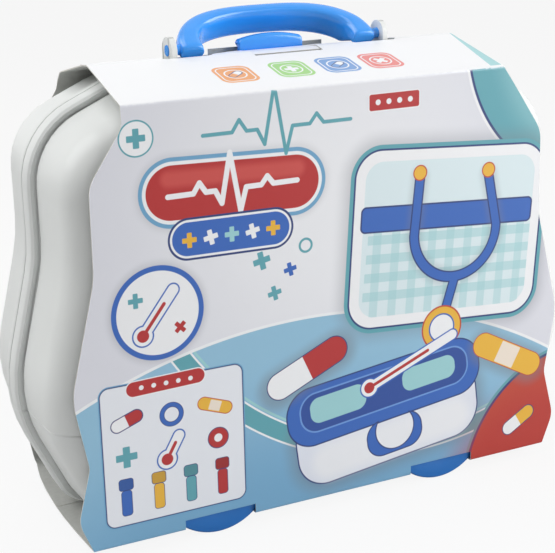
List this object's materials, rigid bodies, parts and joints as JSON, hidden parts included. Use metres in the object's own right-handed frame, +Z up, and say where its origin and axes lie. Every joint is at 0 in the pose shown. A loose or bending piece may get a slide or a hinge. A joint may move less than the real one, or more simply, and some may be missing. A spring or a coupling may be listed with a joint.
{
  "type": "toy doctor case",
  "caption": "Clamshell toy doctor case on wheels, with a carry handle, a latch, toy instruments inside and a printed card sleeve round the closed shells.",
  "frame": {"origin": "on the ground, under the middle of the closed case", "axes": "+Z up, -Y the printed front panel that the picture shows, +X along the width, to the viewer's right"},
  "size_m": [0.2816, 0.1012, 0.2318],
  "materials": {
    "shell_white": "glossy moulded",
    "toy_blue": "glossy moulded",
    "toy_yellow": "glossy moulded",
    "toy_red": "glossy moulded",
    "toy_teal": "glossy moulded",
    "printed_card": "satin coated print",
    "steel": "satin",
    "mirror_foil": "polished"
  },
  "bodies": {
    "base": {"base_shell": "shell_white", "tray_insert": "toy_blue", "tray_screws": "steel", "hinge_pins": "steel", "hammer_handle": "toy_yellow", "hammer_head": "toy_blue", "otoscope_handle": "toy_yellow", "otoscope_head": "toy_blue", "mirror_handle": "toy_yellow", "mirror_frame": "toy_blue", "mirror_glass": "mirror_foil", "syringe_barrel": "toy_yellow", "glasses": "toy_red", "thermometer_yellow": "toy_yellow", "thermometer_red": "toy_red", "kidney_tray_left": "toy_teal", "kidney_tray_right": "toy_teal", "wheel_screws_back": "steel", "sleeve_back": "printed_card"},
    "handle": {"handle": "toy_blue"},
    "syringe_plunger": {"syringe_plunger": "toy_yellow"},
    "wheel_back_left": {"wheel_back_left": "toy_blue", "hubcap_back_left": "toy_red"},
    "wheel_back_right": {"wheel_back_right": "toy_blue", "hubcap_back_right": "toy_red"},
    "lid": {"lid_shell": "shell_white", "latch_pin": "steel", "backdrop_card": "printed_card", "tool_rack": "toy_blue", "rack_screws": "steel", "scissors_left_arm": "toy_red", "scissors_left_rivet": "steel", "scissors_right_arm": "toy_red", "scissors_right_rivet": "steel", "wheel_screws_front": "steel", "sleeve_front": "printed_card"},
    "latch": {"latch": "toy_blue", "sleeve_flap": "printed_card"},
    "wheel_front_left": {"wheel_front_left": "toy_blue", "hubcap_front_left": "toy_red"},
    "wheel_front_right": {"wheel_front_right": "toy_blue", "hubcap_front_right": "toy_red"},
    "scissors_left_blade": {"scissors_left_blade": "toy_red"},
    "scissors_right_blade": {"scissors_right_blade": "toy_red"}
  },
  "joints": [
    {"name": "lid_hinge", "type": "hinge", "parent": "base", "child": "lid", "pos_m": [0, 0, 0.0052], "axis": [1, 0, 0], "range_deg": [0, 100]},
    {"name": "handle_hinge", "type": "hinge", "parent": "base", "child": "handle", "pos_m": [0, 0.002, 0.2163], "axis": [-1, 0, 0], "range_deg": [-61, 3]},
    {"name": "latch_hinge", "type": "hinge", "parent": "lid", "child": "latch", "pos_m": [0, -0.006, 0.2096], "axis": [1, 0, 0], "range_deg": [0, 95]},
    {"name": "wheel_back_left_spin", "type": "hinge", "parent": "base", "child": "wheel_back_left", "pos_m": [-0.06, 0.042, 0.0275], "axis": [0, 1, 0], "continuous": true},
    {"name": "wheel_back_right_spin", "type": "hinge", "parent": "base", "child": "wheel_back_right", "pos_m": [0.06, 0.042, 0.0275], "axis": [0, 1, 0], "continuous": true},
    {"name": "wheel_front_left_spin", "type": "hinge", "parent": "lid", "child": "wheel_front_left", "pos_m": [-0.06, -0.042, 0.0275], "axis": [0, 1, 0], "continuous": true},
    {"name": "wheel_front_right_spin", "type": "hinge", "parent": "lid", "child": "wheel_front_right", "pos_m": [0.06, -0.042, 0.0275], "axis": [0, 1, 0], "continuous": true},
    {"name": "scissors_left_pivot", "type": "hinge", "parent": "lid", "child": "scissors_left_blade", "pos_m": [-0.043, -0.031, 0.084], "axis": [0, 1, 0], "range_deg": [0, 35]},
    {"name": "scissors_right_pivot", "type": "hinge", "parent": "lid", "child": "scissors_right_blade", "pos_m": [0.043, -0.031, 0.084], "axis": [0, 1, 0], "range_deg": [0, 35]},
    {"name": "syringe_slide", "type": "slide", "parent": "base", "child": "syringe_plunger", "axis": [-1, 0, 0], "range_m": [0, 0.023]}
  ]
}
